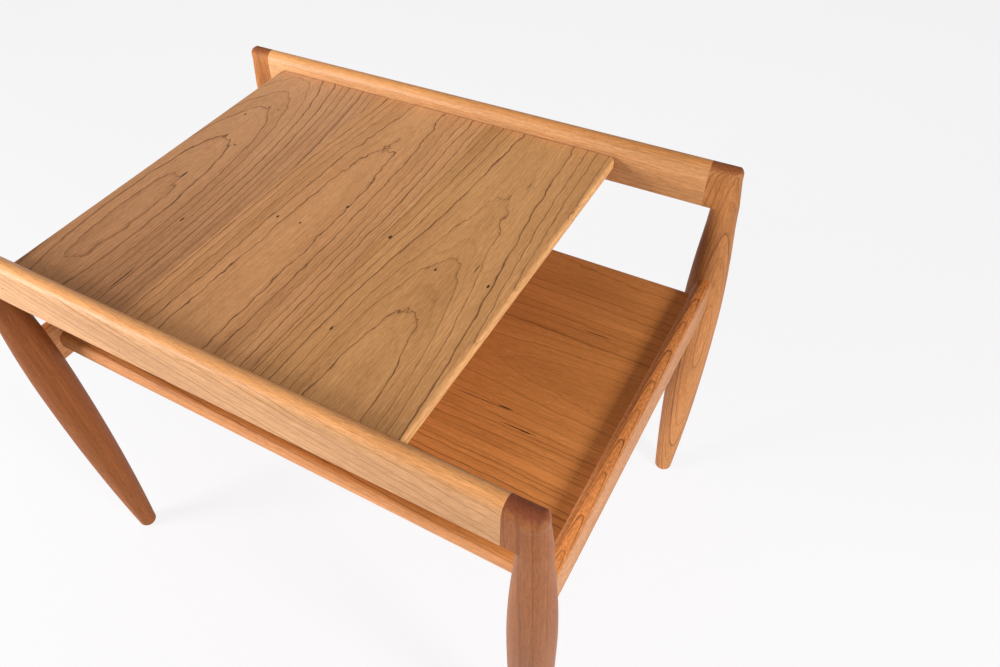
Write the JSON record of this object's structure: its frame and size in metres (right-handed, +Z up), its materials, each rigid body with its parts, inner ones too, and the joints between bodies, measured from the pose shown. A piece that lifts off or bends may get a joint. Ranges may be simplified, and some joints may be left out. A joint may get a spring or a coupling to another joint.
{
  "type": "photo album stand",
  "caption": "Low cherry wood stand with turned legs, raised long rails, a short top panel beside an open slot, and a full-length shelf for albums.",
  "frame": {"origin": "on the floor, under the middle of the stand", "axes": "+X along the long rails towards the open slot, +Y to the back, +Z up"},
  "size_m": [0.6108, 0.4472, 0.48],
  "materials": {
    "leg_wood": "satin oil",
    "rail_wood": "satin oil",
    "end_rail_wood": "satin oil",
    "top_wood": "satin oil",
    "shelf_wood": "satin oil",
    "hidden_wood": "satin oil",
    "screw_steel": "zinc plated"
  },
  "bodies": {
    "root": {"leg_front_left": "leg_wood", "leg_front_right": "leg_wood", "leg_back_left": "leg_wood", "leg_back_right": "leg_wood", "rail_front": "rail_wood", "rail_back": "rail_wood", "end_rail_left": "end_rail_wood", "end_rail_right": "end_rail_wood", "top_board_left": "top_wood", "top_board_middle": "top_wood", "top_board_right": "top_wood", "shelf_board_front": "shelf_wood", "shelf_board_middle": "shelf_wood", "shelf_board_back": "shelf_wood", "top_bearer_left": "hidden_wood", "top_bearer_right": "hidden_wood", "rail_tenons": "hidden_wood", "end_rail_tenons": "hidden_wood", "top_screws": "screw_steel"}
  },
  "joints": []
}
